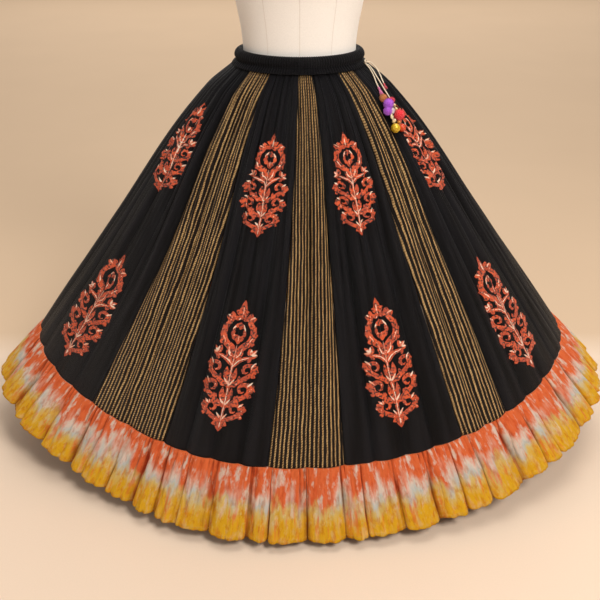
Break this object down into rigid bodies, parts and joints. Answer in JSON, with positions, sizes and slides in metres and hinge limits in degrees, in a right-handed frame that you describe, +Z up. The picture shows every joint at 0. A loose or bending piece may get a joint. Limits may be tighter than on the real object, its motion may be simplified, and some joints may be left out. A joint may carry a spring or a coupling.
{
  "type": "lehenga skirt on dress form",
  "caption": "Long flared lehenga skirt of black and striped gores with a gathered frill and a tasselled drawstring, on a limbless dress form.",
  "frame": {"origin": "on the floor under the middle of the stand's base", "axes": "+Z up; the skirt's front towards -Y; +X towards the side that the drawstring hangs on"},
  "size_m": [1.6036, 1.116, 1.4823],
  "materials": {
    "black_cotton": "matt woven cotton",
    "striped_cotton": "matt cotton with woven stripes",
    "frill_cotton": "matt tie-dyed cotton",
    "cord_cotton": "twisted cotton cord",
    "red_wool": "fluffy wool",
    "pink_wool": "fluffy wool",
    "rust_wool": "fluffy wool",
    "purple_wool": "fluffy wool",
    "crimson_wool": "fluffy wool",
    "white_wool": "fluffy wool",
    "cream_bead": "polished bead",
    "orange_bead": "polished bead",
    "gold_bead": "polished gold-coloured bead",
    "form_cloth": "matt cloth stretched over a hard shell",
    "cap_wood": "satin varnish",
    "stand_steel": "satin dark paint"
  },
  "bodies": {
    "root": {"black_gore_01": "black_cotton", "black_gore_02": "black_cotton", "black_gore_03": "black_cotton", "black_gore_04": "black_cotton", "black_gore_05": "black_cotton", "black_gore_06": "black_cotton", "black_gore_07": "black_cotton", "black_gore_08": "black_cotton", "stripe_gore_01": "striped_cotton", "stripe_gore_02": "striped_cotton", "stripe_gore_03": "striped_cotton", "stripe_gore_04": "striped_cotton", "stripe_gore_05": "striped_cotton", "stripe_gore_06": "striped_cotton", "stripe_gore_07": "striped_cotton", "stripe_gore_08": "striped_cotton", "frill_strip_01": "frill_cotton", "frill_strip_02": "frill_cotton", "frill_strip_03": "frill_cotton", "frill_strip_04": "frill_cotton", "frill_strip_05": "frill_cotton", "frill_strip_06": "frill_cotton", "frill_strip_07": "frill_cotton", "frill_strip_08": "frill_cotton", "waistband": "black_cotton", "form_torso": "form_cloth", "neck_cap": "cap_wood", "stand_pole": "stand_steel", "stand_base": "stand_steel", "drawstring_knot": "cord_cotton", "drawstring_outer": "cord_cotton", "drawstring_middle": "cord_cotton", "drawstring_inner": "cord_cotton", "tassel_red": "red_wool", "tassel_pink": "pink_wool", "pompom_rust": "rust_wool", "pompom_purple_large": "purple_wool", "pompom_purple_small": "purple_wool", "pompom_crimson": "crimson_wool", "pompom_red": "red_wool", "pompom_white": "white_wool", "bead_cream_upper": "cream_bead", "bead_cream_lower": "cream_bead", "bead_orange_link": "cream_bead", "bead_orange": "orange_bead", "bead_ring": "cream_bead", "bead_shell": "cream_bead", "bead_gold_link": "cream_bead", "bead_gold": "gold_bead"}
  },
  "joints": []
}
